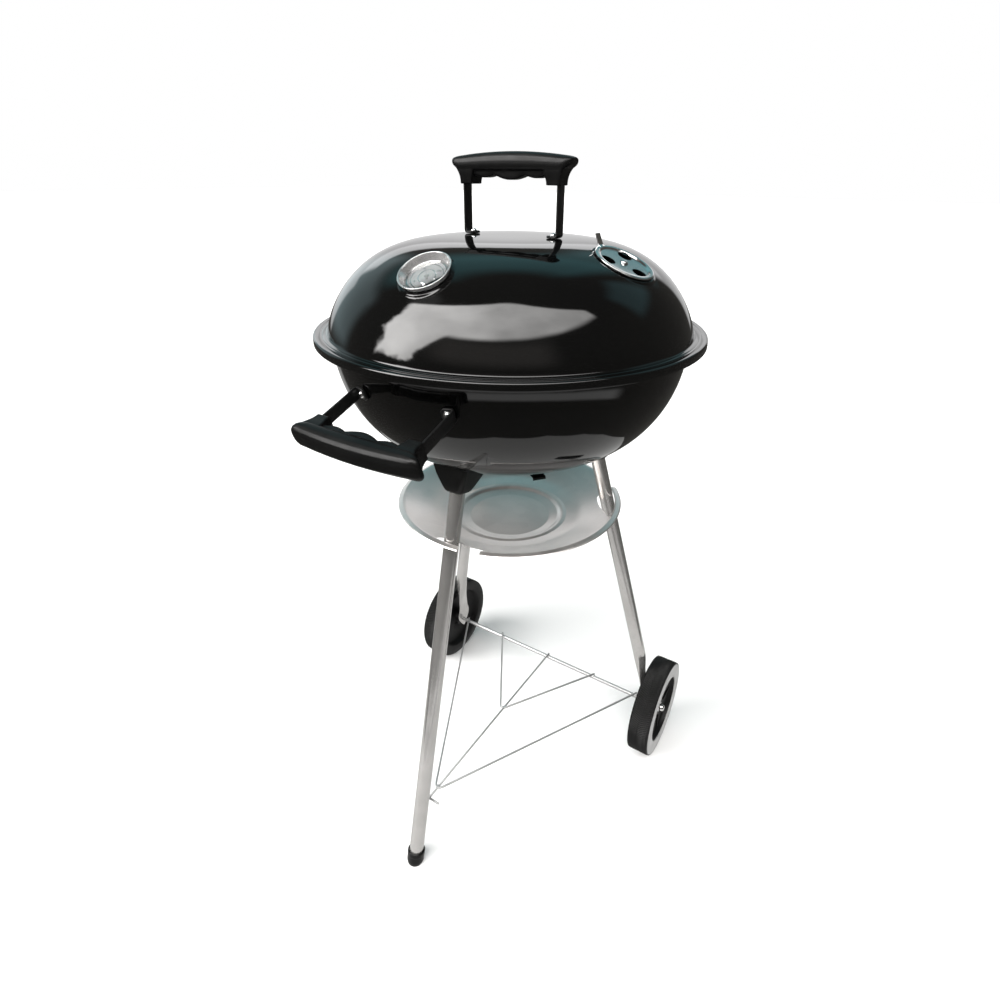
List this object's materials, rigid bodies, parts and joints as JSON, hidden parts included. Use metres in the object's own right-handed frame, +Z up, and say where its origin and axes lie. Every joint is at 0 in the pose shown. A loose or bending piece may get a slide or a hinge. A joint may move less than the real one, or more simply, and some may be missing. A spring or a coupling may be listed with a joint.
{
  "type": "kettle charcoal grill",
  "caption": "Black enamelled kettle charcoal grill on three splayed tube legs with two wheels, lid thermometer and vent, side handle, ash catcher and wire rack.",
  "frame": {"origin": "on the floor, at the centre of the bounding box seen from above", "axes": "+Z up, the longest extent; the axle runs along X and the plain leg and the side handle point towards -Y"},
  "size_m": [0.46, 0.5142, 0.8865],
  "materials": {
    "enamel": "high-gloss black porcelain enamel",
    "black_plastic": "satin black heat-resistant plastic",
    "black_steel": "satin black painted steel strap",
    "steel_tube": "bright plated steel tube",
    "chrome": "polished chrome plating",
    "galvanised": "satin aluminised steel sheet",
    "grate_wire": "plated steel wire",
    "wheel_plastic": "matte black moulded plastic with fine ribs",
    "ring_plastic": "light grey plastic",
    "glass": "clear polished glass",
    "dial_paint": "light printed dial",
    "pointer_paint": "grey painted pointer"
  },
  "bodies": {
    "stand": {"axle": "chrome", "axle_nut_left": "chrome", "axle_nut_right": "chrome", "axle_spacer_left": "steel_tube", "axle_spacer_right": "steel_tube", "bowl_shell": "enamel", "bowl_vent_rivet": "chrome", "foot_cap": "black_plastic", "grate_bracket_1": "galvanised", "grate_bracket_2": "galvanised", "grate_bracket_3": "galvanised", "leg_front": "steel_tube", "leg_left": "steel_tube", "leg_right": "steel_tube", "leg_socket_bolt_front": "chrome", "leg_socket_bolt_left": "chrome", "leg_socket_bolt_right": "chrome", "leg_socket_front": "black_plastic", "leg_socket_left": "black_plastic", "leg_socket_right": "black_plastic", "side_handle_bolt_left": "chrome", "side_handle_bolt_right": "chrome", "side_handle_grip": "black_plastic", "side_handle_nut_left": "chrome", "side_handle_nut_right": "chrome", "side_handle_strap_left": "black_steel", "side_handle_strap_right": "black_steel", "wire_rack": "chrome"},
    "lid": {"lid_handle_bolt_left": "chrome", "lid_handle_bolt_right": "chrome", "lid_handle_grip": "black_plastic", "lid_handle_nut_left": "chrome", "lid_handle_nut_right": "chrome", "lid_handle_strap_left": "black_steel", "lid_handle_strap_right": "black_steel", "lid_shell": "enamel", "lid_vent_rivet": "chrome", "thermometer_bezel": "chrome", "thermometer_dial": "dial_paint", "thermometer_lens": "glass", "thermometer_nut": "chrome", "thermometer_stem": "chrome"},
    "lid_vent_damper": {"lid_vent_damper": "galvanised"},
    "thermometer_pointer": {"thermometer_pointer": "pointer_paint"},
    "bowl_vent_damper": {"bowl_vent_damper": "galvanised"},
    "cooking_grate": {"cooking_grate": "grate_wire"},
    "charcoal_grate": {"charcoal_grate": "grate_wire"},
    "ash_catcher": {"ash_catcher": "galvanised"},
    "wheel_left": {"wheel_left": "wheel_plastic", "wheel_ring_left": "ring_plastic"},
    "wheel_right": {"wheel_right": "wheel_plastic", "wheel_ring_right": "ring_plastic"}
  },
  "joints": [
    {"name": "lid_lift", "type": "slide", "parent": "stand", "child": "lid", "axis": [0, 0, 1], "range_m": [0, 0.35]},
    {"name": "lid_vent_turn", "type": "hinge", "parent": "lid", "child": "lid_vent_damper", "pos_m": [0.14578, 0.01254, 0.78341], "axis": [0.4213, -0.0421, 0.906], "range_deg": [0, 60]},
    {"name": "thermometer_turn", "type": "hinge", "parent": "lid", "child": "thermometer_pointer", "pos_m": [0.00419, -0.13286, 0.77603], "axis": [0.014, -0.5346, 0.845], "range_deg": [-270, 0]},
    {"name": "bowl_vent_turn", "type": "hinge", "parent": "stand", "child": "bowl_vent_damper", "pos_m": [0, 0.02709, 0.538], "axis": [0, 0, 1], "range_deg": [-30, 30]},
    {"name": "cooking_grate_lift", "type": "slide", "parent": "stand", "child": "cooking_grate", "axis": [0, 0, 1], "range_m": [0, 0.02]},
    {"name": "charcoal_grate_lift", "type": "slide", "parent": "stand", "child": "charcoal_grate", "axis": [0, 0, 1], "range_m": [0, 0.07]},
    {"name": "ash_catcher_turn", "type": "hinge", "parent": "stand", "child": "ash_catcher", "pos_m": [0, 0.02709, 0.45], "axis": [0, 0, 1], "range_deg": [-1, 2]},
    {"name": "wheel_left_spin", "type": "hinge", "parent": "stand", "child": "wheel_left", "pos_m": [-0.203, 0.15084, 0.075], "axis": [1, 0, 0], "continuous": true},
    {"name": "wheel_right_spin", "type": "hinge", "parent": "stand", "child": "wheel_right", "pos_m": [0.203, 0.15084, 0.075], "axis": [1, 0, 0], "continuous": true}
  ]
}
